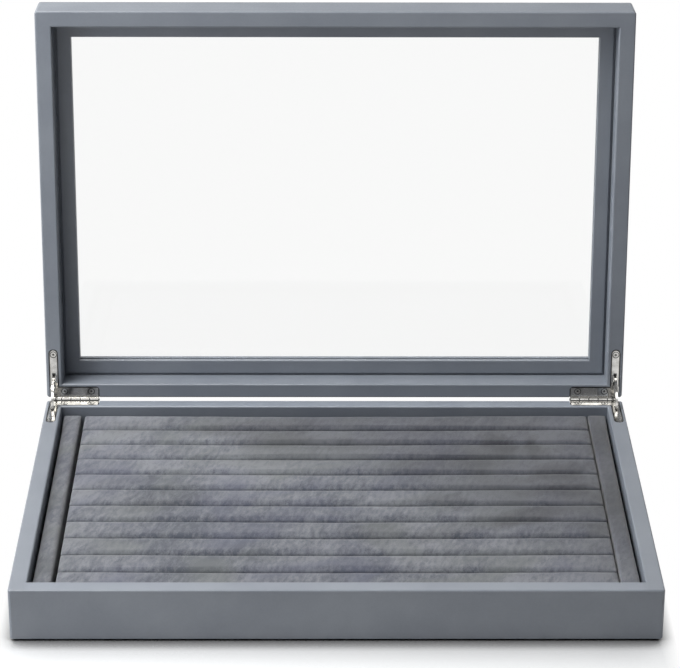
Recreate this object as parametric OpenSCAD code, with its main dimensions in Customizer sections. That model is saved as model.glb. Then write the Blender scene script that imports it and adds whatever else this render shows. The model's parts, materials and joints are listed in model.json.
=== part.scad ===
// Cufflink display box: a shallow leatherette-covered case with a glazed lid, a tray of suede
// rolls and two quadrant hinges that hold the lid open just past upright.
// Origin at the middle of the underside, +X to the right, +Y to the hinges, +Z up, millimetres.
// The lid is described shut, with its rim down on the base, and then swung open about the hinge pin.

/* [Case] */
// Width of the case from side to side
case_w = 365; // [300:5:420]
// Depth of the case from front to hinges
case_d = 250; // [200:5:300]
// Height of the base from the table to its rim
base_h = 32; // [30:1:44]
// Height of the lid from its rim to its top
lid_h = 26; // [24:1:36]
// Thickness of the front and side walls
wall_t = 10; // [9.5:0.5:14]
// Thickness of the hinged walls
hinged_wall_t = 9; // [8.5:0.5:12]
// Radius of the upright corners
corner_r = 1.8; // [1.4:0.2:3]
// Radius of the long edges where the covering turns over
edge_r = 1; // [0.6:0.1:1.2]
// Gap between the two rims when the lid is shut
rim_gap = 0.4; // [0.3:0.1:1]

/* [Base floor] */
// Thickness of the bottom panel
bottom_t = 4; // [3:0.5:6]
// Width of the bottom panel's rebate in the walls
rebate_w = 5; // [3:0.5:6]
// Thickness of the felt under the case
felt_t = 0.8; // [0.5:0.1:2]
// How far the felt stays inside the outer faces
felt_inset = 2.5; // [2:0.5:8]
// Thickness of the tray board that carries the rolls
tray_t = 2; // [1:0.5:3]
// Clearance round the tray board
tray_fit = 0.3; // [0.2:0.1:1]

/* [Rolls] */
// Number of suede rolls
roll_count = 11; // [8:1:14]
// How far the tops of the rolls lie under the rim
roll_drop = 5; // [4:0.5:12]
// Clearance between neighbouring rolls at their bases
roll_gap = 0.3; // [0.2:0.1:1]
// Radius of a roll's two long edges
roll_edge_r = 2.6; // [1.5:0.1:4]
// Angle at which the crown of a roll meets its long edges
roll_crown_deg = 7; // [3:1:14]
// Radius of a roll's two ends
roll_end_r = 2.4; // [1:0.2:4]
// Gap between the front wall and the first roll
roll_front_gap = 2.6; // [1:0.2:4]
// Gap between the last roll and the hinged wall
roll_rear_gap = 0.5; // [0.4:0.1:2]

/* [Side strips] */
// Width of the suede strip along each side
strip_w = 11.2; // [8:0.2:16]
// Gap between a strip and its side wall
strip_wall_gap = 1.3; // [0.4:0.1:2]
// Groove between the left strip and the ends of the rolls
groove_left = 2; // [0.4:0.1:3]
// Groove between the right strip and the ends of the rolls
groove_right = 0.6; // [0.4:0.1:3]
// Clearance at each end of a strip
strip_end_gap = 0.5; // [0.4:0.1:2]
// Radius of a strip's long edges
strip_edge_r = 2; // [1:0.2:3]

/* [Lid glazing] */
// How far the top frame of the lid reaches inside its walls
frame_reach = 10; // [6:0.5:16]
// Thickness of the top frame
frame_t = 4; // [3:0.5:6]
// Thickness of the glass
glass_t = 3; // [2:0.5:4]
// Clearance round the glass
glass_fit = 0.5; // [0.3:0.1:1]
// Thickness of the glazing beads
bead_t = 2.5; // [2:0.5:4]
// Shadow gap between a bead's face and its wall
bead_gap = 1.2; // [0.6:0.1:2]
// Thickness of the lip that runs from a bead to its wall
bead_lip_t = 1; // [0.6:0.1:1.4]
// Clearance between that lip and its wall
bead_lip_fit = 0.15; // [0.1:0.05:0.4]
// Radius of the beads' edges
bead_edge_r = 0.6; // [0.4:0.1:0.9]

/* [Hinges] */
// Angle that the lid opens through
open_deg = 94; // [85:1:100]
// Distance of the hinge pin behind the hinged wall
axis_back = 1.2; // [1:0.1:1.5]
// Thickness of the hinge leaves
leaf_t = 1.4; // [1:0.1:1.8]
// Distance of a leaf from the side of the case
leaf_inset = 2.2; // [1.4:0.1:2.6]
// Length of a leaf along the hinged wall, from the side of the case
leaf_back_len = 33; // [30:1:45]
// Reach of that arm of the leaf from the hinged face
leaf_back_w = 7; // [6.5:0.1:7.5]
// Length of a leaf along the side wall, from the hinged face
leaf_side_len = 32; // [29:1:45]
// Width of the arm along the side wall
leaf_side_w = 5.2; // [5:0.1:6.2]
// Radius of the free end of the arm along the hinged wall
leaf_end_r = 2; // [1:0.2:3]
// Clearance of a leaf in its recess
leaf_fit = 0.4; // [0.05:0.05:0.5]
// Start of the barrel from the side of the case
barrel_start = 3.4; // [3.2:0.1:8]
// Number of knuckles in the barrel
knuckle_count = 5; // [3:2:7]
// Radius of the barrel
knuckle_r = 1.75; // [1.6:0.05:2.2]
// Gap between neighbouring knuckles
knuckle_gap = 0.2; // [0.15:0.05:0.4]
// Clearance cut round the barrel
barrel_fit = 0.3; // [0.25:0.05:0.6]
// Radius of the hinge pin
pin_r = 0.75; // [0.6:0.05:1]
// Running clearance of the pin
pin_fit = 0.05; // [0.02:0.01:0.1]
// How far the pin stands out of each end of the barrel
pin_end = 0.4; // [0.2:0.1:1]

/* [Stays] */
// Radius of the stay's middle line about the pin
stay_r = 13.5; // [12:0.5:16]
// Width of the stay strip
stay_w = 4.2; // [3:0.2:5]
// Thickness of the stay strip
stay_t = 1.3; // [1:0.1:1.5]
// Side clearance of the stay in its slots
slot_fit = 0.4; // [0.15:0.05:0.5]
// Length of a slot beyond the stay, at each end
slot_end = 2; // [0.4:0.1:2.4]
// Width of the stop lugs at the stay's ends
lug_w = 3.2; // [2.6:0.1:3.4]
// How far a lug stays inside the long edges of its stay
lug_step = 0.25; // [0.1:0.05:0.5]
// Angle that a stop lug takes up along the stay
lug_deg = 6; // [4:1:9]
// Play between a lug and its leaf when the lid is open
lug_play = 0.2; // [0.1:0.05:0.5]
// Clearance of the stay in the pockets of the walls
pocket_fit = 0.4; // [0.3:0.1:0.8]
// Angle that a pocket runs on past the stay
pocket_run_deg = 3; // [2:1:6]

/* [Screws] */
// Radius of a screw's head
head_r = 2; // [1.6:0.1:2.2]
// Height of a screw's countersunk head
head_h = 1; // [0.8:0.1:1.2]
// Radius of a screw's shank
shank_r = 0.9; // [0.7:0.1:1.1]
// Length of a screw
screw_len = 9; // [6:0.5:12]
// Clearance of a screw in its hole
screw_fit = 0.05; // [0.03:0.01:0.1]
// Distance of the back screws from the hinged face
back_screw_in = 4.2; // [3.6:0.1:4.4]
// Distance of the first back screw from the side of the case
back_screw_first = 11.3; // [10.8:0.1:13]
// Distance of the second back screw from the leaf's end
back_screw_end = 4.8; // [4:0.1:7]
// Distance of the side screw from the leaf's end
side_screw_end = 3.2; // [3:0.1:6]
// Width of the cross cut in a screw's head
cross_w = 0.45; // [0.3:0.05:0.6]
// Depth of that cross
cross_depth = 0.5; // [0.3:0.1:0.8]

/* [Hidden] */
$fn = 64;
over = 1;
arc_steps = 6;
crown_steps = 8;

half_w = case_w / 2;
half_d = case_d / 2;
lid_z = base_h + rim_gap;
axis_y = half_d + axis_back;
axis_z = base_h + rim_gap / 2;

bottom_z = felt_t + bottom_t;
tray_z = bottom_z + tray_t;
inner_w = case_w - 2 * wall_t;
inner_d = case_d - wall_t - hinged_wall_t;
inner_y = (wall_t - hinged_wall_t) / 2;

roll_h = base_h - roll_drop - tray_z;
roll_pitch = (inner_d - roll_front_gap - roll_rear_gap) / roll_count;
roll_w = roll_pitch - roll_gap;
roll_len = inner_w - 2 * (strip_wall_gap + strip_w) - groove_left - groove_right;
roll_x = (groove_left - groove_right) / 2;
roll_front_y = -half_d + wall_t + roll_front_gap;

glass_z = lid_h - frame_t - glass_t;
bead_z = glass_z - bead_t;

knuckle_len = (leaf_back_len - barrel_start) / knuckle_count;
arm_x = leaf_inset + leaf_side_w / 2;
side_arm_v = axis_back + leaf_side_len;
back_arm_v = axis_back + leaf_back_w;
leaf_drop = rim_gap / 2;
screw_places = [
    [back_screw_first, axis_back + back_screw_in],
    [leaf_back_len - back_screw_end, axis_back + back_screw_in],
    [arm_x, side_arm_v - side_screw_end]
];

slot_in = stay_r - stay_w / 2 - slot_end;
slot_out = stay_r + stay_w / 2 + slot_end;
lug_top_deg = asin((leaf_drop + leaf_t + lug_play) / (stay_r - stay_w / 2));
stay_end_deg = lug_top_deg + lug_deg;
lug_reach = stay_w - 2 * lug_step;
pocket_deg = stay_end_deg + open_deg / 2 + pocket_run_deg;

case_color = [0.45, 0.47, 0.51];
suede_color = [0.52, 0.53, 0.55];
metal_color = [0.80, 0.79, 0.76];
glass_color = [0.85, 0.92, 0.92, 0.35];
felt_color = [0.20, 0.21, 0.23];
board_color = [0.32, 0.33, 0.35];

function roll_name(i) = str("roll_", i < 10 ? "0" : "", i);
roll_names = [for (i = [1:roll_count]) roll_name(i)];

// The four sides of the case, counted from the front towards the right.
front = 0;
right = 1;
rear = 2;
left = 3;
function side_len(i) = i % 2 == 0 ? case_w : case_d;
function side_out(i) = i % 2 == 0 ? half_d : half_w;
function side_t(i) = i == rear ? hinged_wall_t : wall_t;
function side_before(i) = (i + 3) % 4;
function side_after(i) = (i + 1) % 4;

// Draws on side i: x runs along the side, y goes inwards from its outer face.
module on_side(i) {
    rotate([0, 0, 90 * i]) translate([0, -side_out(i), 0]) children();
}

// Turns a section, whose x goes inwards and whose y goes up, into a bar along x.
module bar(len) {
    rotate([90, 0, 90]) linear_extrude(len, center = true) children();
}

// Takes the corner at the origin off a section, down to a quarter circle.
module round_off(r) {
    difference() {
        translate([-over, -over]) square(r + over);
        translate([r, r]) circle(r);
    }
}

// One mitred side of a case shell, its outer corners turned in one piece with its edges.
// Its section is the child, and reach is how far that section goes inside the walls.
module mitred_side(i, reach) {
    len = side_len(i);
    in = side_t(i);
    first = side_t(side_before(i));
    last = side_t(side_after(i));
    full_h = base_h + lid_h;
    intersection() {
        bar(len) children();
        translate([0, 0, -over]) linear_extrude(full_h + 2 * over) polygon([
            [-len / 2 + corner_r, -over],
            [-len / 2 + corner_r, corner_r],
            [-len / 2 + first, in],
            [-len / 2 + first + reach + over, in + reach + over],
            [len / 2 - last - reach - over, in + reach + over],
            [len / 2 - last, in],
            [len / 2 - corner_r, corner_r],
            [len / 2 - corner_r, -over]
        ]);
    }
    for (end = [0, 1])
        mirror([end, 0, 0])
            translate([len / 2 - corner_r, corner_r, 0])
                rotate([0, 0, 270])
                    rotate_extrude(angle = 45)
                        intersection() {
                            translate([corner_r, 0]) mirror([1, 0]) children();
                            square([corner_r, full_h]);
                        }
}

// Section of a base wall: rounded edges, and a rebate for the bottom panel.
module base_section(t) {
    difference() {
        translate([0, felt_t]) square([t, base_h - felt_t]);
        translate([t - rebate_w, felt_t - over]) square([rebate_w + over, bottom_t + over]);
        translate([0, felt_t]) round_off(edge_r);
        translate([0, base_h]) mirror([0, 1]) round_off(edge_r);
        translate([t, base_h]) rotate(180) round_off(edge_r);
    }
}

// Section of a lid rail: the wall, and the top frame that the glass lies under.
module lid_section(t) {
    difference() {
        union() {
            square([t, lid_h]);
            translate([0, lid_h - frame_t]) square([t + frame_reach, frame_t]);
        }
        round_off(edge_r);
        translate([t, 0]) mirror([1, 0]) round_off(edge_r);
        translate([0, lid_h]) mirror([0, 1]) round_off(edge_r);
        translate([t + frame_reach, lid_h]) rotate(180) round_off(edge_r);
    }
}

// Section of a glazing bead, measured inwards from its wall.
module bead_section() {
    difference() {
        union() {
            translate([bead_gap, 0]) square([frame_reach - bead_gap, bead_t]);
            translate([bead_lip_fit, bead_t - bead_lip_t])
                square([frame_reach - bead_lip_fit, bead_lip_t]);
        }
        translate([bead_gap, 0]) round_off(bead_edge_r);
        translate([frame_reach, 0]) mirror([1, 0]) round_off(bead_edge_r);
    }
}

// Points of an arc about a centre, both ends included.
function arc(x, y, r, from, to, steps) =
    [for (k = [0:steps]) let (a = from + (to - from) * k / steps) [x + r * cos(a), y + r * sin(a)]];

// Outline of a padded piece seen along its length: upright sides, rounded edges and a crown.
// A crown of 0 degrees is a flat top.
function pad_outline(w, h, r, crown) =
    let (
        run = w / 2 - r,
        crown_r = crown > 0 ? run / sin(crown) + r : 0,
        edge_y = crown > 0 ? h - crown_r + (crown_r - r) * cos(crown) : h - r,
        right_edge = arc(run, edge_y, r, 0, 90 - crown, arc_steps),
        top = crown > 0
            ? arc(0, h - crown_r, crown_r, 90 - crown, 90 + crown, crown_steps)
            : [],
        inner_top = [for (k = [1:len(top) - 2]) top[k]],
        left_edge = arc(-run, edge_y, r, 90 + crown, 180, arc_steps)
    )
    concat([[-w / 2, 0], [w / 2, 0]], right_edge, inner_top, left_edge);

// A pad that lies along x, with its own crown and rounded ends.
module pad(len, w, h, edge_r, crown, end_r) {
    intersection() {
        rotate([90, 0, 90]) linear_extrude(len, center = true)
            polygon(pad_outline(w, h, edge_r, crown));
        rotate([90, 0, 0]) linear_extrude(w + 2 * over, center = true)
            polygon(pad_outline(len, h, end_r, 0));
    }
}

// Swings what is drawn shut to the open position about the hinge pin.
module swung_open() {
    translate([0, axis_y, axis_z])
        rotate([-open_deg, 0, 0])
            translate([0, -axis_y, -axis_z])
                children();
}

// Hinge frame at one end of the pin line: x inwards from the side of the case,
// y forwards from the pin, z up from the pin.
module at_hinge(side) {
    mirror([side == left ? 1 : 0, 0, 0])
        translate([half_w, axis_y, axis_z])
            rotate([0, 0, 180])
                children();
}

// Plan of a leaf, an L whose side arm ends in a half circle; grow widens it for its recess,
// which is also open at the back.
module leaf_plan(grow, back) {
    translate([leaf_inset - grow, back])
        square([leaf_back_len - leaf_inset + 2 * grow, back_arm_v - leaf_end_r - back + grow]);
    translate([leaf_inset - grow, back])
        square([leaf_back_len - leaf_end_r - leaf_inset + grow, back_arm_v - back + grow]);
    translate([leaf_back_len - leaf_end_r, back_arm_v - leaf_end_r]) circle(leaf_end_r + grow);
    translate([leaf_inset - grow, back])
        square([leaf_side_w + 2 * grow, side_arm_v - leaf_side_w / 2 - back]);
    translate([arm_x, side_arm_v - leaf_side_w / 2]) circle(leaf_side_w / 2 + grow);
}

// A round bar along the pin line, in the hinge frame.
module pin_line(from, to, r) {
    translate([from, 0, 0]) rotate([0, 90, 0]) cylinder(h = to - from, r = r);
}

// A screw with its head up at the origin; grow widens it for its hole.
module screw_body(grow, deeper = 0) {
    translate([0, 0, -head_h]) cylinder(h = head_h, r1 = shank_r + grow, r2 = head_r + grow);
    translate([0, 0, -screw_len - deeper]) cylinder(h = screw_len + deeper, r = shank_r + grow);
}

module screw() {
    difference() {
        screw_body(0);
        for (turn = [0, 90])
            rotate([0, 0, turn])
                translate([0, 0, over / 2 - cross_depth])
                    cube([head_r * 1.1, cross_w, over], center = true);
    }
}

// One base leaf with every second knuckle from the first, or with the others between them.
module leaf(first_knuckle) {
    difference() {
        union() {
            difference() {
                translate([0, 0, -leaf_drop - leaf_t])
                    linear_extrude(leaf_t)
                        leaf_plan(0, axis_back + leaf_fit);
                pin_line(barrel_start - barrel_fit, leaf_back_len + over, knuckle_r + barrel_fit);
            }
            for (k = [first_knuckle:2:knuckle_count - 1]) {
                from = barrel_start + k * knuckle_len + knuckle_gap / 2;
                width = knuckle_len - knuckle_gap;
                pin_line(from, from + width, knuckle_r);
                translate([from, 0, -leaf_drop - leaf_t])
                    cube([width, knuckle_r + barrel_fit + over, leaf_t]);
            }
        }
        pin_line(barrel_start - over, leaf_back_len + over, pin_r + pin_fit);
        translate([arm_x - stay_t / 2 - slot_fit, slot_in, -leaf_drop - leaf_t - over])
            cube([stay_t + 2 * slot_fit, slot_out - slot_in, leaf_t + 2 * over]);
        for (place = screw_places)
            translate([place[0], place[1], -leaf_drop]) screw_body(screw_fit);
    }
}

// A ring sector about the pin in the plane of the stay: angles run up from the front.
module stay_sector(from, to, width, grow, thickness) {
    translate([arm_x, 0, 0])
        rotate([90, 0, 90])
            rotate([0, 0, from])
                rotate_extrude(angle = to - from)
                    translate([stay_r, 0])
                        square([width + 2 * grow, thickness + 2 * grow], center = true);
}

// Everything that the hinge takes out of the walls under one leaf.
module hinge_cuts() {
    translate([0, 0, -leaf_drop - leaf_t]) linear_extrude(leaf_t + over) leaf_plan(leaf_fit, 0);
    pin_line(barrel_start - barrel_fit, leaf_back_len + barrel_fit, knuckle_r + barrel_fit);
    stay_sector(-pocket_deg, 0, stay_w, pocket_fit, lug_w);
    for (place = screw_places)
        translate([place[0], place[1], -leaf_drop]) screw_body(screw_fit, screw_fit);
}

// The same cuts at both corners, under the base leaves.
module base_hinge_cuts() {
    for (side = [left, right]) at_hinge(side) hinge_cuts();
}

// The same cuts at both corners, above the lid leaves of the shut lid.
module lid_hinge_cuts() {
    for (side = [left, right]) at_hinge(side) mirror([0, 0, 1]) hinge_cuts();
}

module base_wall(i) {
    color(case_color) difference() {
        on_side(i) mitred_side(i, 0) base_section(side_t(i));
        if (i != front) base_hinge_cuts();
    }
}

module base_bottom_panel() {
    color(board_color)
        translate([-half_w + wall_t - rebate_w, -half_d + wall_t - rebate_w, felt_t])
            cube([inner_w + 2 * rebate_w, inner_d + 2 * rebate_w, bottom_t]);
}

module base_underside_felt() {
    color(felt_color)
        translate([-half_w + felt_inset, -half_d + felt_inset, 0])
            cube([case_w - 2 * felt_inset, case_d - 2 * felt_inset, felt_t]);
}

module tray_board() {
    color(board_color)
        translate([0, inner_y, bottom_z + tray_t / 2])
            cube([inner_w - 2 * tray_fit, inner_d - 2 * tray_fit, tray_t], center = true);
}

module roll(i) {
    color(suede_color)
        translate([roll_x, roll_front_y + (i - 0.5) * roll_pitch, tray_z])
            pad(roll_len, roll_w, roll_h, roll_edge_r, roll_crown_deg, roll_end_r);
}

module side_strip(side) {
    x = inner_w / 2 - strip_wall_gap - strip_w / 2;
    color(suede_color)
        translate([side == left ? -x : x, inner_y, tray_z])
            rotate([0, 0, 90])
                pad(inner_d - 2 * strip_end_gap, strip_w, roll_h, strip_edge_r, roll_crown_deg,
                    strip_edge_r);
}

module lid_rail(i) {
    color(case_color) swung_open() difference() {
        translate([0, 0, lid_z]) on_side(i) mitred_side(i, frame_reach) lid_section(side_t(i));
        if (i != front) lid_hinge_cuts();
    }
}

module glass_pane() {
    color(glass_color) swung_open()
        translate([0, inner_y, lid_z + glass_z + glass_t / 2])
            cube([inner_w - 2 * glass_fit, inner_d - 2 * glass_fit, glass_t], center = true);
}

module glazing_bead(i) {
    len = side_len(i);
    in = side_t(i);
    first = side_t(side_before(i));
    last = side_t(side_after(i));
    color(case_color) swung_open()
        translate([0, 0, lid_z + bead_z])
            on_side(i)
                intersection() {
                    translate([0, in, 0]) bar(len) bead_section();
                    translate([0, 0, -over]) linear_extrude(bead_t + 2 * over) polygon([
                        [-len / 2 + first, in],
                        [-len / 2 + first + frame_reach + over, in + frame_reach + over],
                        [len / 2 - last - frame_reach - over, in + frame_reach + over],
                        [len / 2 - last, in]
                    ]);
                }
}

module hinge_base_leaf(side) {
    color(metal_color) at_hinge(side) leaf(0);
}

module hinge_lid_leaf(side) {
    color(metal_color) swung_open() at_hinge(side) mirror([0, 0, 1]) leaf(1);
}

module hinge_pin(side) {
    color(metal_color) at_hinge(side)
        pin_line(barrel_start - pin_end, leaf_back_len + pin_end, pin_r);
}

// A strip bent about the pin, with a stop lug behind each leaf.
module hinge_stay(side) {
    color(metal_color) at_hinge(side) {
        stay_sector(-stay_end_deg, open_deg + stay_end_deg, stay_w, 0, stay_t);
        stay_sector(-stay_end_deg, -lug_top_deg, lug_reach, 0, lug_w);
        stay_sector(open_deg + lug_top_deg, open_deg + stay_end_deg, lug_reach, 0, lug_w);
    }
}

module leaf_screws() {
    for (place = screw_places) translate([place[0], place[1], -leaf_drop]) screw();
}

module base_hinge_screws() {
    color(metal_color) for (side = [left, right]) at_hinge(side) leaf_screws();
}

module lid_hinge_screws() {
    color(metal_color) swung_open()
        for (side = [left, right]) at_hinge(side) mirror([0, 0, 1]) leaf_screws();
}

base_wall(front);  // base_front_wall
base_wall(right);  // base_right_wall
base_wall(rear);  // base_rear_wall
base_wall(left);  // base_left_wall
base_bottom_panel();
base_underside_felt();
tray_board();
for (i = [1:roll_count])
    roll(i);
side_strip(left);  // side_strip_left
side_strip(right);  // side_strip_right
lid_rail(front);  // lid_front_rail
lid_rail(right);  // lid_right_rail
lid_rail(rear);  // lid_rear_rail
lid_rail(left);  // lid_left_rail
glass_pane();
glazing_bead(front);  // glazing_bead_front
glazing_bead(right);  // glazing_bead_right
glazing_bead(rear);  // glazing_bead_rear
glazing_bead(left);  // glazing_bead_left
hinge_base_leaf(left);  // hinge_base_leaf_left
hinge_base_leaf(right);  // hinge_base_leaf_right
hinge_lid_leaf(left);  // hinge_lid_leaf_left
hinge_lid_leaf(right);  // hinge_lid_leaf_right
hinge_pin(left);  // hinge_pin_left
hinge_pin(right);  // hinge_pin_right
hinge_stay(left);  // hinge_stay_left
hinge_stay(right);  // hinge_stay_right
base_hinge_screws();
lid_hinge_screws();
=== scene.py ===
# Cufflink display box: the case, glass and hinges keep their CAD shapes and get their finishes here,
# and the suede rolls and side strips are padded pieces swelled by cloth simulation.
import json
import math

import bpy
from mathutils import Euler, Matrix, Vector, noise


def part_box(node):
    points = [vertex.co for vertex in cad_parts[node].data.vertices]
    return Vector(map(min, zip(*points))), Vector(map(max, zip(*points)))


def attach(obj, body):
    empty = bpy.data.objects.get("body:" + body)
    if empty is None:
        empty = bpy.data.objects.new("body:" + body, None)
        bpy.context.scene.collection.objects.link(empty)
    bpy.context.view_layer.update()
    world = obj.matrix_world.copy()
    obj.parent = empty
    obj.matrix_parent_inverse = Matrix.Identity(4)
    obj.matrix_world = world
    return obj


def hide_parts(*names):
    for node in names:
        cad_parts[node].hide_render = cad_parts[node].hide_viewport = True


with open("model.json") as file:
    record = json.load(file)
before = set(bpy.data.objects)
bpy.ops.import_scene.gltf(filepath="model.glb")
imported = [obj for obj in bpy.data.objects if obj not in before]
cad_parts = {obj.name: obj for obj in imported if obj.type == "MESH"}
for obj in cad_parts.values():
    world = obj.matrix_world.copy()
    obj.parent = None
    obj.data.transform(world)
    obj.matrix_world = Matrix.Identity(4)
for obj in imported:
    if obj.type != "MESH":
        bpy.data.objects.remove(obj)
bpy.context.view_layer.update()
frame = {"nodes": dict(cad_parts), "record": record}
print("frame loaded:", len(frame["nodes"]), "nodes")

# The camera of the photograph in the box's own frame: metres, degrees, and millimetres of lens
photoView = {
    "place": (-0.0093, -1.5159, 0.7935),
    "tilt": 66.443,
    "turn": -0.438,
    "roll": 0.204,
    "lens": 150.84,
    "sensor": 36.0,
    "clip": (0.05, 60),
}


def placeCamera():
    data = bpy.data.cameras.new("photoView")
    data.sensor_fit = "HORIZONTAL"
    data.sensor_width = photoView["sensor"]
    data.lens = photoView["lens"]
    data.clip_start, data.clip_end = photoView["clip"]
    camera = bpy.data.objects.new("photoView", data)
    bpy.context.scene.collection.objects.link(camera)
    facing = Euler((math.radians(photoView["tilt"]), 0, math.radians(photoView["turn"])), "XYZ").to_matrix()
    facing = facing @ Matrix.Rotation(math.radians(photoView["roll"]), 3, "Z")
    camera.matrix_world = Matrix.Translation(photoView["place"]) @ facing.to_4x4()
    bpy.context.scene.camera = camera


placeCamera()
bpy.context.scene.view_settings.view_transform = "Standard"


# Selecting and applying, used by all the modelling below
def onlySelect(piece):
    bpy.ops.object.select_all(action="DESELECT")
    piece.select_set(True)
    bpy.context.view_layer.objects.active = piece


def editEdges(piece, wanted):
    # leaves the piece in edit mode with only the wanted edges selected
    onlySelect(piece)
    bpy.ops.object.mode_set(mode="EDIT")
    bpy.ops.mesh.select_mode(type="EDGE")
    bpy.ops.mesh.select_all(action="DESELECT")
    bpy.ops.object.mode_set(mode="OBJECT")
    for edge in piece.data.edges:
        edge.select = wanted(piece.data, edge)
    bpy.ops.object.mode_set(mode="EDIT")


def applyModifiers(piece):
    onlySelect(piece)
    for modifier in list(piece.modifiers):
        bpy.ops.object.modifier_apply(modifier=modifier.name)


# Building blocks for the materials. A value is a number, a colour or the socket of another node.
def fillSocket(tree, socket, value):
    if isinstance(value, bpy.types.NodeSocket):
        tree.links.new(value, socket)
    else:
        socket.default_value = value


def fillNode(tree, node, **values):
    # Base_Color=value fills the socket called Base Color
    for key, value in values.items():
        fillSocket(tree, node.inputs[key.replace("_", " ")], value)
    return node


def addNode(tree, kind, settings=None, **values):
    node = tree.nodes.new(kind)
    for key, value in (settings or {}).items():
        setattr(node, key, value)
    return fillNode(tree, node, **values)


def emptyTree(owner):
    owner.use_nodes = True
    owner.node_tree.nodes.clear()
    return owner.node_tree


def startMaterial(name):
    material = bpy.data.materials.new(name)
    tree = emptyTree(material)
    shader = addNode(tree, "ShaderNodeBsdfPrincipled")
    addNode(tree, "ShaderNodeOutputMaterial", Surface=shader.outputs["BSDF"])
    return material, tree, shader


def placed(tree, turn=0.0, drawnOut=(1, 1, 1), centre=(0, 0, 0), where=None):
    # object coordinates about a centre, turned in plan and drawn out along the turned axes
    if where is None:
        where = addNode(tree, "ShaderNodeTexCoord").outputs["Object"]
    return addNode(
        tree, "ShaderNodeMapping", {"vector_type": "TEXTURE"}, Vector=where, Location=centre,
        Rotation=(0, 0, math.radians(turn)), Scale=drawnOut,
    ).outputs["Vector"]


def apart(tree, where):
    # a place taken apart into its x, y and z
    return addNode(tree, "ShaderNodeSeparateXYZ", Vector=where).outputs


def noiseFactor(tree, where, scale, detail=2.0, rough=0.5, swirl=0.0):
    return addNode(
        tree, "ShaderNodeTexNoise", Vector=where, Scale=scale, Detail=detail,
        Roughness=rough, Distortion=swirl,
    ).outputs["Fac"]


def spread(tree, value, fromLow, fromHigh, toLow=0.0, toHigh=1.0):
    return addNode(
        tree, "ShaderNodeMapRange", {"clamp": True}, Value=value,
        From_Min=fromLow, From_Max=fromHigh, To_Min=toLow, To_Max=toHigh,
    ).outputs["Result"]


def maths(tree, kind, first, second=0.0):
    node = addNode(tree, "ShaderNodeMath", {"operation": kind})
    fillSocket(tree, node.inputs[0], first)
    fillSocket(tree, node.inputs[1], second)
    return node.outputs[0]


def times(tree, first, second):
    return maths(tree, "MULTIPLY", first, second)


def less(tree, first, second):
    return maths(tree, "SUBTRACT", first, second)


def sums(tree, first, second, share=1.0):
    # first + second * share
    return maths(tree, "ADD", first, times(tree, second, share))


def unsigned(tree, value):
    return maths(tree, "ABSOLUTE", value)


def greatest(tree, first, *others):
    for other in others:
        first = maths(tree, "MAXIMUM", first, other)
    return first


def lengthOf(tree, first, second):
    # length of the sloping side over two square ones
    both = maths(tree, "ADD", maths(tree, "POWER", first, 2.0), maths(tree, "POWER", second, 2.0))
    return maths(tree, "SQRT", both)


def between(tree, value, low, high, soft=0.00003):
    # 1 between two limits and 0 outside them
    rising = spread(tree, value, low - soft, low + soft)
    return times(tree, rising, spread(tree, value, high - soft, high + soft, 1.0, 0.0))


def mixValues(tree, factor, first, second):
    node = addNode(tree, "ShaderNodeMix", {"data_type": "FLOAT"})
    for number, value in ((0, factor), (2, first), (3, second)):
        fillSocket(tree, node.inputs[number], value)
    return node.outputs[0]


def mixColours(tree, factor, first, second, mode="MIX"):
    node = addNode(tree, "ShaderNodeMix", {"data_type": "RGBA", "blend_type": mode})
    for number, value in ((0, factor), (6, first), (7, second)):
        fillSocket(tree, node.inputs[number], value)
    return node.outputs[2]


def mixShaders(tree, factor, first, second):
    node = addNode(tree, "ShaderNodeMixShader")
    for socket, value in zip(node.inputs, (factor, first.outputs[0], second.outputs[0])):
        fillSocket(tree, socket, value)
    return node


def tone(tree, colour, factor):
    # the colour made darker or paler by a factor
    return addNode(
        tree, "ShaderNodeVectorMath", {"operation": "SCALE"}, Vector=colour, Scale=factor
    ).outputs["Vector"]


def toneWhere(tree, colour, mask, factor):
    return tone(tree, colour, spread(tree, mask, 0, 1, 1.0, factor))


def bump(tree, height, distance, strength=1.0):
    return addNode(
        tree, "ShaderNodeBump", Height=height, Distance=distance, Strength=strength
    ).outputs["Normal"]


def shade(red, green, blue):
    # a colour as it is seen on a screen, 0 to 255, turned into the shader's linear values
    def linear(value):
        part = value / 255
        return part / 12.92 if part <= 0.04045 else ((part + 0.055) / 1.055) ** 2.4

    return (linear(red), linear(green), linear(blue), 1.0)


# Where the hinges sit, in metres: the pin's line, and the plan of a leaf, outwards from the middle of
# the case and forwards from the pin
hingePlan = {
    "pin": (0.0, 0.1262, 0.0322),
    "openDegrees": 94,
    "armMiddle": 0.1777,
    "armHalf": 0.0026,
    "armEnd": 0.0306,
    "backReach": 0.0082,
    "backFrom": 0.1495,
    "outerSide": 0.1803,
    "fit": 0.0005,
    "pocketFrom": 0.00125,
    "pocketDepth": (0.00024, 0.017),
    "knuckle": 0.00592,
    "screws": ((0.1712, 0.0054), (0.1543, 0.0054), (0.1777, 0.0300)),
}
lidTurn = -hingePlan["openDegrees"]


def fromPin(tree, turn):
    # distances outwards, forwards and off the rim's plane, as they are on a shut base or lid leaf
    where = addNode(tree, "ShaderNodeTexCoord").outputs["Object"]
    local = addNode(
        tree, "ShaderNodeMapping", {"vector_type": "TEXTURE"}, Vector=where,
        Location=hingePlan["pin"], Rotation=(math.radians(turn), 0, 0),
    ).outputs["Vector"]
    x, y, z = apart(tree, local)
    return unsigned(tree, x), times(tree, y, -1.0), unsigned(tree, z)


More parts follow.
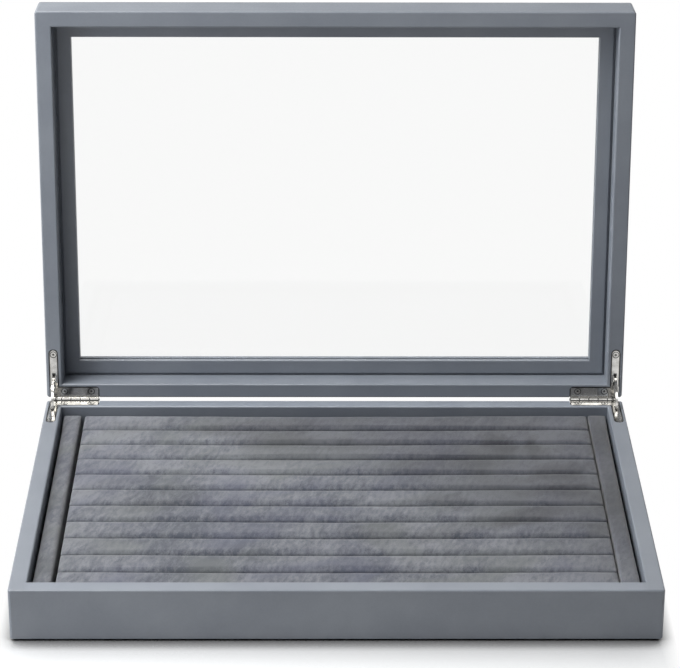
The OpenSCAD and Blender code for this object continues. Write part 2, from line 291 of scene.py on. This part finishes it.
def inPocket(tree, turn):
    # 1 on the cut sides of the pockets that a leaf and its stay lie in
    outwards, forwards, under = fromPin(tree, turn)
    fit, side = hingePlan["fit"], hingePlan["armHalf"] + hingePlan["fit"]
    middle, start = hingePlan["armMiddle"], hingePlan["pocketFrom"]
    arm = times(
        tree, between(tree, outwards, middle - side, middle + side),
        between(tree, forwards, start, hingePlan["armEnd"] + side),
    )
    back = times(
        tree, between(tree, outwards, hingePlan["backFrom"] - fit, hingePlan["outerSide"] + fit),
        between(tree, forwards, start, hingePlan["backReach"] + fit),
    )
    return times(tree, greatest(tree, arm, back), between(tree, under, *hingePlan["pocketDepth"]))


leatherette = {
    "deep": shade(98, 104, 114),
    "pale": shade(107, 113, 122),
    "roughness": (0.36, 0.48),
    "shine": 0.6,
    "cloudScale": 28,
    "pebbleScale": 900,
    "poreScale": 2340,
    "pebbleDepth": 0.000035,
    # tones of the painted shade on the cut pockets and along the closed lid's hinged edge, and of the painted
    # light on the tray's rims
    "pocketShade": 0.10,
    "seamShade": 0.35,
    "rim": 1.34,
    "lidFrom": (0.1252, 0.1256),
    "seamShadeReach": (-0.001, 0.0020),
    "seamShadeSoft": 0.0002,
    "rimHeight": (0.0316, 0.0324),
    "rimEnds": (0.170, 0.174),
    "rimToRear": (0.10, 0.12),
    "frontShare": 0.4,
}


def makeLeatherette():
    material, tree, shader = startMaterial("caseLeatherette")
    where = placed(tree)
    x, y, z = apart(tree, where)
    cloudy = noiseFactor(tree, where, leatherette["cloudScale"], 3, 0.55)
    pebble = noiseFactor(tree, where, leatherette["pebbleScale"], 2, 0.5, 0.4)
    pores = noiseFactor(tree, where, leatherette["poreScale"], 1, 0.5)
    depth = sums(tree, spread(tree, cloudy, 0.3, 0.7), spread(tree, pebble, 0.35, 0.65), 0.25)
    colour = mixColours(tree, spread(tree, depth, 0.1, 1.1), leatherette["deep"], leatherette["pale"])
    # painted shade on the cut sides of the pockets that the hinges' leaves and stays lie in
    pockets = greatest(tree, inPocket(tree, 0), inPocket(tree, lidTurn))
    colour = toneWhere(tree, colour, pockets, leatherette["pocketShade"])

    # painted shadow along the lid's hinged edge, where the shut lid meets the base
    onLid = spread(tree, y, *leatherette["lidFrom"])
    lidForwards = fromPin(tree, lidTurn)[1]
    underHingedEdge = between(tree, lidForwards, *leatherette["seamShadeReach"], leatherette["seamShadeSoft"])
    colour = toneWhere(tree, colour, times(tree, onLid, underHingedEdge), leatherette["seamShade"])
    # painted light on the front and rear rims of the tray, fullest on the rear one
    rimLit = times(tree, between(tree, z, *leatherette["rimHeight"]), less(tree, 1.0, onLid))
    rimLit = times(tree, rimLit, spread(tree, unsigned(tree, x), *leatherette["rimEnds"], 1.0, 0.0))
    rimLit = times(tree, rimLit, spread(tree, y, *leatherette["rimToRear"], leatherette["frontShare"], 1.0))
    colour = toneWhere(tree, colour, rimLit, leatherette["rim"])

    rough = spread(tree, sums(tree, pebble, cloudy, 0.5), 0.5, 1.0, *leatherette["roughness"])
    grain = bump(tree, sums(tree, pebble, pores, 0.35), leatherette["pebbleDepth"], 0.6)
    fillNode(
        tree, shader, Base_Color=colour, Roughness=rough, Normal=grain,
        Specular_IOR_Level=leatherette["shine"],
    )
    return material


suede = {
    "brushedDark": shade(68, 72, 82),
    "brushedMid": shade(91, 94, 102),
    "brushedPale": shade(109, 112, 119),
    "napRange": (1.62, 2.18),
    # bluer and greyer clouds over the nap, and how much of each there is
    "cool": shade(80, 83, 100),
    "coolRange": (0.30, 0.48),
    "coolShare": 0.5,
    "warm": shade(92, 96, 97),
    "warmRange": (0.52, 0.70),
    "warmShare": 0.55,
    "roughness": 0.92,
    "shine": 0.2,
    "sheen": 0.22,
    "sheenRoughness": 0.55,
    "brushScale": 22,
    "strokeScale": 60,
    "pileScale": 380,
    "fibreScale": 1500,
    "fibreDepth": 0.00012,
    # the pile is darker and bluer towards the back right corner
    "backRightFrom": (0.015, 0.085),
    "backRightAlong": (0.65, 0.76),
    "backRightTone": 0.54,
    "backRightCool": 0.3,
    "wobble": 0.045,
    "markRange": (0.04, 0.55),
    # the heights at which the pile gets the least light and all of it
    "deepFrom": (0.0206, 0.0240),
    "deepTone": 0.22,
    # the side strips, the grooves beside them where the painted shade is lifted, and the painted highlight on
    # the brim of the right one
    "stripFrom": (0.158, 0.160),
    "stripTone": 0.90,
    "grooves": (0.1566, 0.1616),
    "grooveShade": 0.75,
    "brim": (0.1592, 0.1608),
    "brimTone": 1.15,
}
# Marks that a finger or a brush left in the pile: centre, half sizes, turn in degrees and depth of tone
napMarks = [
    (0.100, 0.072, 0.014, 0.026, 0, 0.42),
    (0.131, 0.072, 0.013, 0.021, 0, 0.40),
    (0.143, 0.036, 0.019, 0.018, 20, 0.36),
    (0.146, 0.012, 0.029, 0.014, 0, 0.36),
    (0.117, -0.023, 0.048, 0.013, 27, 0.40),
    (0.050, 0.042, 0.030, 0.022, 30, 0.24),
    (0.082, 0.048, 0.024, 0.018, 0, 0.24),
    (0.068, -0.005, 0.020, 0.018, -20, 0.24),
    (0.023, -0.045, 0.030, 0.019, 0, 0.22),
    (0.073, -0.040, 0.046, 0.013, 25, 0.20),
    (0.065, 0.097, 0.034, 0.013, 15, 0.18),
    (0.113, 0.100, 0.034, 0.013, 10, 0.20),
    (-0.002, 0.072, 0.050, 0.011, 5, 0.26),
    (-0.091, 0.104, 0.080, 0.013, 3, 0.20),
    (-0.048, 0.097, 0.065, 0.016, 5, 0.38),
    (-0.030, 0.081, 0.045, 0.019, 5, 0.40),
    (-0.028, 0.060, 0.034, 0.016, 0, 0.20),
    (-0.105, -0.004, 0.034, 0.020, 10, 0.16),
    (-0.130, 0.020, 0.030, 0.010, 30, 0.12),
    (0.168, 0.085, 0.014, 0.040, 0, 0.32),
    (0.168, -0.005, 0.012, 0.026, 0, 0.26),
    (0.152, -0.041, 0.018, 0.012, 0, 0.20),
]


def inMarks(tree, x, y, wobble):
    # how deep the nap marks are at a place, whose wobble keeps their edges uneven
    shifted = addNode(
        tree, "ShaderNodeCombineXYZ", X=maths(tree, "ADD", x, wobble), Y=sums(tree, y, wobble, 0.5)
    ).outputs[0]
    marked = 0.0
    for centreX, centreY, long, wide, turn, depth in napMarks:
        spot = addNode(
            tree, "ShaderNodeTexGradient", {"gradient_type": "SPHERICAL"},
            Vector=placed(tree, turn, (long, wide, 1), (centreX, centreY, 0), shifted),
        )
        marked = greatest(tree, marked, spread(tree, spot.outputs["Fac"], *suede["markRange"], 0.0, depth))
    return marked


def shadeAndBrimLight(tree, fromMiddle, x, z):
    # painted shade of the pile between and under the rolls, lifted in the grooves beside the strips, with a
    # painted highlight on the right strip's brim
    shadowed = spread(tree, z, *suede["deepFrom"], suede["deepTone"], 1.0)
    grooves = times(tree, between(tree, fromMiddle, *suede["grooves"]), suede["grooveShade"])
    brim = times(tree, between(tree, x, *suede["brim"]), suede["brimTone"])
    return greatest(tree, shadowed, grooves, brim)


def makeSuede():
    material, tree, shader = startMaterial("brushedSuede")
    where = placed(tree)
    x, y, z = apart(tree, where)
    brushed = noiseFactor(tree, placed(tree, 27, (2.0, 1.3, 1)), suede["brushScale"], 3, 0.5, 0.8)
    strokes = noiseFactor(tree, placed(tree, 62, (2.6, 1, 1)), suede["strokeScale"], 4, 0.6, 0.6)
    pile = noiseFactor(tree, placed(tree, 75, (2.6, 1, 1)), suede["pileScale"], 3, 0.6, 0.3)
    fibres = noiseFactor(tree, where, suede["fibreScale"], 2, 0.6)
    swept = sums(tree, brushed, strokes)
    nap = sums(tree, swept, sums(tree, pile, fibres, 0.5), 1.2)
    ramp = addNode(tree, "ShaderNodeValToRGB", Fac=spread(tree, nap, *suede["napRange"]))
    ramp.color_ramp.elements[0].color = suede["brushedDark"]
    ramp.color_ramp.elements[1].color = suede["brushedPale"]
    ramp.color_ramp.elements.new(0.5).color = suede["brushedMid"]
    tint = noiseFactor(tree, placed(tree, 20, (1.6, 1.2, 1)), 26, 2, 0.5, 0.8)
    cooler = spread(tree, tint, *suede["coolRange"], suede["coolShare"], 0.0)
    colour = mixColours(tree, cooler, ramp.outputs["Color"], suede["cool"])
    warmer = spread(tree, tint, *suede["warmRange"], 0.0, suede["warmShare"])
    colour = mixColours(tree, warmer, colour, suede["warm"])

    wobble = times(tree, less(tree, swept, 1.0), suede["wobble"])
    across, along = suede["backRightAlong"]
    towardsBackRight = maths(tree, "ADD", sums(tree, times(tree, x, across), y, along), wobble)
    colour = mixColours(
        tree, spread(tree, towardsBackRight, *suede["backRightFrom"], 0.0, suede["backRightCool"]), colour, suede["cool"]
    )
    field = spread(tree, towardsBackRight, *suede["backRightFrom"], 1.0, suede["backRightTone"])
    field = times(tree, field, less(tree, 1.0, inMarks(tree, x, y, wobble)))
    fromMiddle = unsigned(tree, x)
    field = times(tree, field, spread(tree, fromMiddle, *suede["stripFrom"], 1.0, suede["stripTone"]))
    # painted shade low between the rolls and a painted highlight on the right strip's brim are multiplied into
    # the colour
    colour = tone(tree, colour, times(tree, field, shadeAndBrimLight(tree, fromMiddle, x, z)))

    fillNode(
        tree, shader, Base_Color=colour, Roughness=suede["roughness"], Specular_IOR_Level=suede["shine"],
        Sheen_Weight=suede["sheen"], Sheen_Roughness=suede["sheenRoughness"],
        Normal=bump(tree, sums(tree, fibres, pile, 0.8), suede["fibreDepth"], 0.7),
    )
    return material


nickel = {
    "bright": (0.66, 0.65, 0.625, 1.0),
    "dull": (0.47, 0.46, 0.44, 1.0),
    "roughness": (0.10, 0.20),
    "brushDepth": 0.000008,
    # share of the colour that is left in the painted shade at the leaves' edges and screws, and in the painted
    # dark reflection on the rolled knuckles
    "grime": 0.10,
    "barrel": 0.55,
    # where the painted shade lies, from the edges of a leaf, from the middle of a screw and from the pin
    "edgeGrime": (0.0006, 0.0002),
    "seatGrime": (0.0017, 0.0022),
    "crossGrime": (0.0004, 0.0009),
    "leafUnder": (0.0001, 0.0019),
    "leafFrom": (0.0018, 0.0019),
    "armFrom": (0.0084, 0.0090),
    "backUpTo": (0.1750, 0.1752),
    # the barrel's radius, and the painted shade in its seams by their distance from a sloping plane through
    # the pin
    "barrelRadius": (0.0020, 0.0021),
    "barrelSlope": (0.89, 0.45),
    "barrelSeams": ((0.0005, 0.0010), (-0.0012, -0.0007)),
    "knuckleGap": (0.03, 0.08),
}


def hingeGrime(tree, turn):
    # painted shade: 1 along the leaf's edges and round the screws' heads
    outwards, forwards, under = fromPin(tree, turn)
    outer, inner = nickel["edgeGrime"]
    half, reach, start = hingePlan["armHalf"], hingePlan["backReach"], hingePlan["backFrom"]
    leaf = times(tree, between(tree, under, *nickel["leafUnder"]), spread(tree, forwards, *nickel["leafFrom"]))
    aside = unsigned(tree, less(tree, outwards, hingePlan["armMiddle"]))
    beyond = greatest(tree, less(tree, forwards, hingePlan["armEnd"]), 0.0)
    armEdge = spread(tree, lengthOf(tree, aside, beyond), half - outer, half - inner)
    armEdge = times(tree, armEdge, spread(tree, forwards, *nickel["armFrom"]))
    backEdge = times(
        tree, spread(tree, forwards, reach - outer, reach - inner),
        spread(tree, outwards, *nickel["backUpTo"], 1.0, 0.0),
    )
    innerEnd = spread(tree, outwards, start + inner, start + outer, 1.0, 0.0)
    grime = greatest(tree, armEdge, backEdge, innerEnd)
    for x, y in hingePlan["screws"]:
        away = lengthOf(tree, less(tree, outwards, x), less(tree, forwards, y))
        seat = between(tree, away, *nickel["seatGrime"], 0.0002)
        grime = greatest(tree, grime, seat, spread(tree, away, *nickel["crossGrime"], 1.0, 0.0))
    return times(tree, grime, leaf)


def barrelGrime(tree):
    # painted dark reflection on the rolled knuckles: how much of the colour is left there, with painted shade
    # beside the knuckles' gaps and in the seams where the sheet is rolled in
    outwards, forwards, under = fromPin(tree, 0)
    barrel = spread(tree, lengthOf(tree, forwards, under), *nickel["barrelRadius"], 1.0, 0.0)
    height = less(tree, apart(tree, placed(tree))[2], hingePlan["pin"][2])
    rise, run = nickel["barrelSlope"]
    facing = less(tree, times(tree, height, rise), times(tree, forwards, run))
    upper, lower = [between(tree, facing, *seamShade, 0.0001) for seamShade in nickel["barrelSeams"]]
    counted = maths(tree, "DIVIDE", less(tree, outwards, hingePlan["backFrom"]), hingePlan["knuckle"])
    nearest = unsigned(tree, less(tree, counted, maths(tree, "ROUND", counted)))
    dark = greatest(tree, upper, lower, spread(tree, nearest, *nickel["knuckleGap"], 1.0, 0.0))
    return mixValues(tree, barrel, 1.0, spread(tree, dark, 0, 1, nickel["barrel"], nickel["grime"]))


def makeNickel():
    material, tree, shader = startMaterial("polishedNickel")
    brushed = noiseFactor(tree, placed(tree, 0, (6, 1, 1)), 900, 2, 0.5)
    cloud = noiseFactor(tree, placed(tree), 220, 3, 0.5)
    colour = mixColours(tree, spread(tree, cloud, 0.35, 0.7), nickel["bright"], nickel["dull"])
    # painted shade round the leaves' edges and the screws' heads
    grime = greatest(tree, hingeGrime(tree, 0), hingeGrime(tree, lidTurn))
    colour = toneWhere(tree, colour, grime, nickel["grime"])
    # the knuckles' colour is lowered by a painted dark reflection and painted shade
    fillNode(
        tree, shader, Base_Color=tone(tree, colour, barrelGrime(tree)), Metallic=1.0,
        Roughness=spread(tree, sums(tree, cloud, brushed, 0.5), 0.5, 1.0, *nickel["roughness"]),
        Normal=bump(tree, brushed, nickel["brushDepth"], 0.3),
    )
    return material


pane = {"tint": (0.94, 0.943, 0.94, 1.0), "ior": 1.3, "shine": 0.2, "smudge": 0.012}


def makeGlass():
    material, tree, shader = startMaterial("clearGlass")
    smudge = noiseFactor(tree, placed(tree), 14, 2, 0.5)
    fillNode(
        tree, shader, Base_Color=pane["tint"], IOR=pane["ior"], Transmission_Weight=1.0,
        Specular_IOR_Level=pane["shine"], Roughness=spread(tree, smudge, 0.4, 0.75, 0.0, pane["smudge"]),
    )
    # lamps reach what is behind the pane through the plain see-through shader
    clear = addNode(tree, "ShaderNodeBsdfTransparent", Color=pane["tint"])
    shadowRay = addNode(tree, "ShaderNodeLightPath").outputs["Is Shadow Ray"]
    output = next(node for node in tree.nodes if node.type == "OUTPUT_MATERIAL")
    fillNode(tree, output, Surface=mixShaders(tree, shadowRay, shader, clear).outputs[0])
    return material


felt = {"deep": shade(40, 43, 47), "pale": shade(62, 65, 70), "depth": 0.0002}


def makeFelt():
    material, tree, shader = startMaterial("undersideFelt")
    where = placed(tree)
    wool = noiseFactor(tree, where, 700, 4, 0.7, 0.6)
    patches = noiseFactor(tree, where, 60, 2, 0.5)
    paleness = spread(tree, sums(tree, wool, patches, 0.4), 0.45, 0.95)
    fillNode(
        tree, shader, Base_Color=mixColours(tree, paleness, felt["deep"], felt["pale"]), Roughness=0.95,
        Specular_IOR_Level=0.15, Sheen_Weight=0.2, Normal=bump(tree, wool, felt["depth"], 0.8),
    )
    return material


board = {"deep": shade(52, 55, 60), "pale": shade(70, 73, 78), "depth": 0.00008}


def makeBoard():
    material, tree, shader = startMaterial("greyBoard")
    pulp = noiseFactor(tree, placed(tree), 380, 4, 0.65)
    flecks = noiseFactor(tree, placed(tree, 35, (5, 1, 1)), 500, 2, 0.5)
    paleness = spread(tree, sums(tree, pulp, flecks, 0.5), 0.55, 0.95)
    fillNode(
        tree, shader, Base_Color=mixColours(tree, paleness, board["deep"], board["pale"]), Roughness=0.85,
        Normal=bump(tree, pulp, board["depth"], 0.5),
    )
    return material


finishes = {
    "case_leatherette": makeLeatherette(),
    "suede": makeSuede(),
    "nickel": makeNickel(),
    "clear_glass": makeGlass(),
    "felt": makeFelt(),
    "board": makeBoard(),
}


def giveFinish(piece, slotName):
    piece.data.materials.clear()
    piece.data.materials.append(finishes[slotName])


for part in frame["record"]["subparts"]:
    giveFinish(frame["nodes"][part["node"]], part["material_slot"])
print("finishes given to the CAD nodes")

# Suede rolls and side strips, in metres. The blank starts inside its CAD solid; its lower part is
# glued and its top swells under pressure, no farther than the cap.
softRoll = {
    "inset": 0.0001,
    "topDrop": 0.0006,
    "edge": 0.0011,
    "voxel": 0.0016,
    "free": 0.0030,
    "pressure": 4.0,
    "stretch": 12,
    "shear": 5,
    "bend": 0.3,
    "quality": 6,
    "frames": 20,
    "cap": 0.0008,
    # unevenness of the top and of the slits, each with the scale of its noise
    "wave": 0.00022,
    "waveScale": 28,
    "ripple": 0.00010,
    "rippleScale": 110,
    "slitWave": 0.00032,
    "slitScale": 42,
}
softStrip = dict(
    softRoll, edge=0.0009, free=0.0022, cap=0.0005, topDrop=0.0004, wave=0.00015,
    slope=(0.0020, 0.0009), slopeWidth=0.005,
)


def makeBlank(name, low, high, form):
    bpy.ops.mesh.primitive_cube_add(size=1, location=(low + high) / 2, scale=high - low)
    pad = bpy.context.object
    pad.name = pad.data.name = name
    bpy.ops.object.transform_apply(location=True, rotation=False, scale=True)
    editEdges(pad, lambda mesh, edge: all(mesh.vertices[v].co.z > high.z - 1e-5 for v in edge.vertices))
    bpy.ops.mesh.bevel(offset=form["edge"], segments=3, affect="EDGES")
    bpy.ops.object.mode_set(mode="OBJECT")
    pad.data.remesh_voxel_size = form["voxel"]
    bpy.ops.object.voxel_remesh()
    return pad


def swell(pad, top, form):
    # a cloth skin under pressure, glued to its foam below the free depth
    before = [v.co.copy() for v in pad.data.vertices]
    glued = pad.vertex_groups.new(name="glued")
    glued.add([v.index for v in pad.data.vertices if v.co.z < top - form["free"]], 1.0, "REPLACE")
    cloth = pad.modifiers.new("swell", "CLOTH")
    cloth.settings.quality = form["quality"]
    cloth.settings.use_pressure = True
    cloth.settings.uniform_pressure_force = form["pressure"]
    cloth.settings.vertex_group_mass = "glued"
    cloth.settings.tension_stiffness = cloth.settings.compression_stiffness = form["stretch"]
    cloth.settings.shear_stiffness = form["shear"]
    cloth.settings.bending_stiffness = form["bend"]
    cloth.settings.effector_weights.gravity = 0
    cloth.point_cache.frame_start = 1
    cloth.point_cache.frame_end = form["frames"]
    scene = bpy.context.scene
    for frameNumber in range(1, form["frames"] + 1):
        scene.frame_set(frameNumber)
    applyModifiers(pad)
    scene.frame_set(1)
    for v, start in zip(pad.data.vertices, before):
        step = v.co - start
        if step.length > form["cap"]:
            v.co = start + step * (form["cap"] / step.length)


def keepInside(pad, low, high):
    for v in pad.data.vertices:
        for axis in range(3):
            v.co[axis] = min(max(v.co[axis], low[axis]), high[axis])


def finishPad(pad, low, high, form, seed):
    # one subdivision, then the unevenness of foam under suede
    smooth = pad.modifiers.new("smooth", "SUBSURF")
    smooth.levels = smooth.render_levels = 1
    applyModifiers(pad)
    for v in pad.data.vertices:
        depth = (v.co.z - low.z) / (high.z - low.z)
        here = v.co + Vector((seed * 3.7, seed * 1.9, 0))
        slow = noise.noise(here * form["waveScale"])
        quick = noise.noise(here * form["rippleScale"] + Vector((5, 3, 1)))
        rise = depth * depth * (slow * form["wave"] + quick * form["ripple"])
        v.co.z += rise - depth * form["wave"] * 0.5
        # the slits between the rolls waver, most at the top
        side = (v.co.y - (low.y + high.y) / 2) / ((high.y - low.y) / 2)
        nearEdge = max(0.0, abs(side) - 0.6) / 0.4
        waver = noise.noise(Vector((here.x * form["slitScale"], seed * 5.3 + (side > 0), 0)))
        pull = form["slitWave"] * (0.5 + waver)
        v.co.y -= math.copysign(pull * nearEdge * depth * depth, side)
    keepInside(pad, low, high)
    onlySelect(pad)
    bpy.ops.object.shade_smooth()


def slopeOutwards(pad, low, high, fall, width):
    # the strip's outer side is pulled down towards the wall
    outer = low.x if low.x < 0 else high.x
    for v in pad.data.vertices:
        depth = (v.co.z - low.z) / (high.z - low.z)
        near = max(0.0, 1 - abs(v.co.x - outer) / width) * min(1.0, (high.y - v.co.y) / 0.02)
        v.co.z -= fall * near * near * max(0.0, depth - 0.5) * 2


def makePad(name, node, form):
    low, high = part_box(node)
    gap = Vector((form["inset"],) * 3)
    drop = Vector((0, 0, form["topDrop"]))
    pad = makeBlank(name, low + gap, high - gap - drop, form)
    swell(pad, high.z - form["topDrop"], form)
    return pad, low, high


def dressPad(pad, node, body="base"):
    giveFinish(pad, "suede")
    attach(pad, body)
    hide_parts(node)


# One roll is modelled, and the others are copies that each get their own unevenness
master, firstLow, _ = makePad("suedeRoll01", "roll_01", softRoll)
rollNodes = [part["node"] for part in frame["record"]["subparts"] if part["node"].startswith("roll_")]
rolls = [master]
for node in rollNodes[1:]:
    low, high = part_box(node)
    roll = master.copy()
    roll.data = master.data.copy()
    roll.name = roll.data.name = "suedeRoll" + node[-2:]
    bpy.context.scene.collection.objects.link(roll)
    roll.data.transform(Matrix.Translation(low - firstLow))
    rolls.append(roll)
for number, (roll, node) in enumerate(zip(rolls, rollNodes), 1):
    low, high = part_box(node)
    finishPad(roll, low, high, softRoll, number)
    dressPad(roll, node)
print("rolls padded:", len(rolls))

for count, side in enumerate(("Left", "Right")):
    node = "side_strip_" + side.lower()
    strip, low, high = makePad("suedeStrip" + side, node, softStrip)
    slopeOutwards(strip, low, high, softStrip["slope"][count], softStrip["slopeWidth"])
    finishPad(strip, low, high, softStrip, 20 + count)
    dressPad(strip, node)
print("side strips padded")

# The pale sweep that the box stands on and the lights round it. The surroundings that the finishes
# mirror are white low down, brighter behind on the left, and dim overhead, with a bright band between.
plainWhite = (1, 1, 1, 1)
studio = {
    "floorSize": 16.0,
    "floorLevel": -0.0001,
    "floorColour": (0.92, 0.92, 0.92, 1.0),
    "floorSeen": (0.54, 0.555, 0.58, 1.0),
    "floorGlow": 0.25,
    "farFrom": (0.22, 0.36),
    "besideFrom": (0.180, 0.190),
    "behindFrom": (0.120, 0.150),
    "contactReach": (0.012, 0.036),
    "contactDepth": (2.2, 1.2),
    "background": 1.0,
    "behindLeft": 1.1,
    "behindRight": 0.0,
    "leftToRight": (-0.25, 0.0),
    "inFront": 1.2,
    "frontBand": 0.5,
    "frontRise": (0.05, 0.25),
    "frontToBack": (-0.1, 0.1),
    "bandAbove": 4.2,
    "bandFrom": (0.45, 0.60),
    "overhead": 0.25,
    "bandTo": (0.80, 0.86),
}
warmLight, coolLight = (1.0, 0.98, 0.94), (0.96, 0.98, 1.0)
lamps = {
    "keyFromLeft": {"place": (-0.9, -0.2, 0.8), "size": (0.5, 0.5), "power": 6.6, "colour": warmLight},
    "fillLowLeft": {"place": (-1.0, -0.3, 0.45), "size": (0.5, 0.5), "power": 5.6, "colour": coolLight},
    "fillHighFront": {"place": (-1.0, -1.5, 1.8), "size": (0.9, 0.9), "power": 2.5, "colour": coolLight},
    "boxAbove": {"place": (-0.5, -0.1, 1.3), "size": (0.5, 0.5), "power": 20.5, "colour": warmLight},
    "backdropLight": {"place": (0.0, 2.2, 0.9), "size": (1.6, 1.2), "power": 2.0, "colour": (1, 1, 1)},
}
lampAim = (0, 0, 0.1)


def seenDirectly(tree, names):
    # 1 for the named kinds of rays, such as those from the camera
    path = addNode(tree, "ShaderNodeLightPath")
    return greatest(tree, *[path.outputs[name] for name in names])


def makeFloor():
    bpy.ops.mesh.primitive_plane_add(size=studio["floorSize"], location=(0, 0, studio["floorLevel"]))
    floor = bpy.context.object
    floor.name = "floor"
    material = bpy.data.materials.new("paleFloor")
    tree = emptyTree(material)
    # in front of the box the sweep is seen with its soft shadow
    contact = 1.0
    for reach, depth in zip(studio["contactReach"], studio["contactDepth"]):
        nearness = addNode(tree, "ShaderNodeAmbientOcclusion", {"samples": 4}, Distance=reach)
        contact = times(tree, contact, maths(tree, "POWER", nearness.outputs["AO"], depth))
    shadowed = mixColours(tree, 1.0, studio["floorSeen"], contact, "MULTIPLY")
    lit = addNode(tree, "ShaderNodeBsdfDiffuse", Color=shadowed)
    glow = addNode(
        tree, "ShaderNodeEmission", Color=plainWhite, Strength=times(tree, contact, studio["floorGlow"])
    )
    near = addNode(tree, "ShaderNodeAddShader")
    fillSocket(tree, near.inputs[0], lit.outputs[0])
    fillSocket(tree, near.inputs[1], glow.outputs[0])
    # beside and behind the box and farther off it is plain white
    where = placed(tree)
    distance = addNode(tree, "ShaderNodeVectorMath", {"operation": "LENGTH"}, Vector=where).outputs["Value"]
    x, y, _ = apart(tree, where)
    away = greatest(
        tree, spread(tree, unsigned(tree, x), *studio["besideFrom"]), spread(tree, y, *studio["behindFrom"]),
        spread(tree, distance, *studio["farFrom"]),
    )
    white = addNode(tree, "ShaderNodeEmission", Color=plainWhite, Strength=studio["background"])
    seen = mixShaders(tree, away, near, white)
    # other rays meet a plain pale floor
    plain = addNode(tree, "ShaderNodeBsdfDiffuse", Color=studio["floorColour"])
    direct = seenDirectly(tree, ("Is Camera Ray", "Is Glossy Ray", "Is Transmission Ray"))
    addNode(tree, "ShaderNodeOutputMaterial", Surface=mixShaders(tree, direct, plain, seen).outputs[0])
    floor.data.materials.append(material)


def makeSurroundings():
    world = bpy.data.worlds.new("studio")
    bpy.context.scene.world = world
    tree = emptyTree(world)
    toRight, toBack, upwards = apart(tree, addNode(tree, "ShaderNodeTexCoord").outputs["Generated"])
    behind = spread(tree, toRight, *studio["leftToRight"], studio["behindLeft"], studio["behindRight"])
    front = spread(tree, upwards, *studio["frontRise"], studio["inFront"], studio["frontBand"])
    low = mixValues(tree, spread(tree, toBack, *studio["frontToBack"]), front, behind)
    room = mixValues(tree, spread(tree, upwards, *studio["bandFrom"]), low, studio["bandAbove"])
    room = mixValues(tree, spread(tree, upwards, *studio["bandTo"]), room, studio["overhead"])
    mirrored = times(tree, room, seenDirectly(tree, ("Is Glossy Ray",)))
    roomLight = addNode(tree, "ShaderNodeBackground", Color=plainWhite, Strength=mirrored)
    white = addNode(tree, "ShaderNodeBackground", Color=plainWhite, Strength=studio["background"])
    direct = seenDirectly(tree, ("Is Camera Ray", "Is Transmission Ray"))
    addNode(tree, "ShaderNodeOutputWorld", Surface=mixShaders(tree, direct, roomLight, white).outputs[0])


def makeLamp(name, lamp):
    data = bpy.data.lights.new(name, "AREA")
    data.shape = "RECTANGLE"
    data.size, data.size_y = lamp["size"]
    data.energy = lamp["power"]
    data.color = lamp["colour"]
    light = bpy.data.objects.new(name, data)
    bpy.context.scene.collection.objects.link(light)
    light.location = lamp["place"]
    aim = Vector(lampAim) - Vector(lamp["place"])
    light.rotation_euler = aim.to_track_quat("-Z", "Y").to_euler()


makeFloor()
makeSurroundings()
for name, lamp in lamps.items():
    makeLamp(name, lamp)
print("floor, lamps and surroundings made")
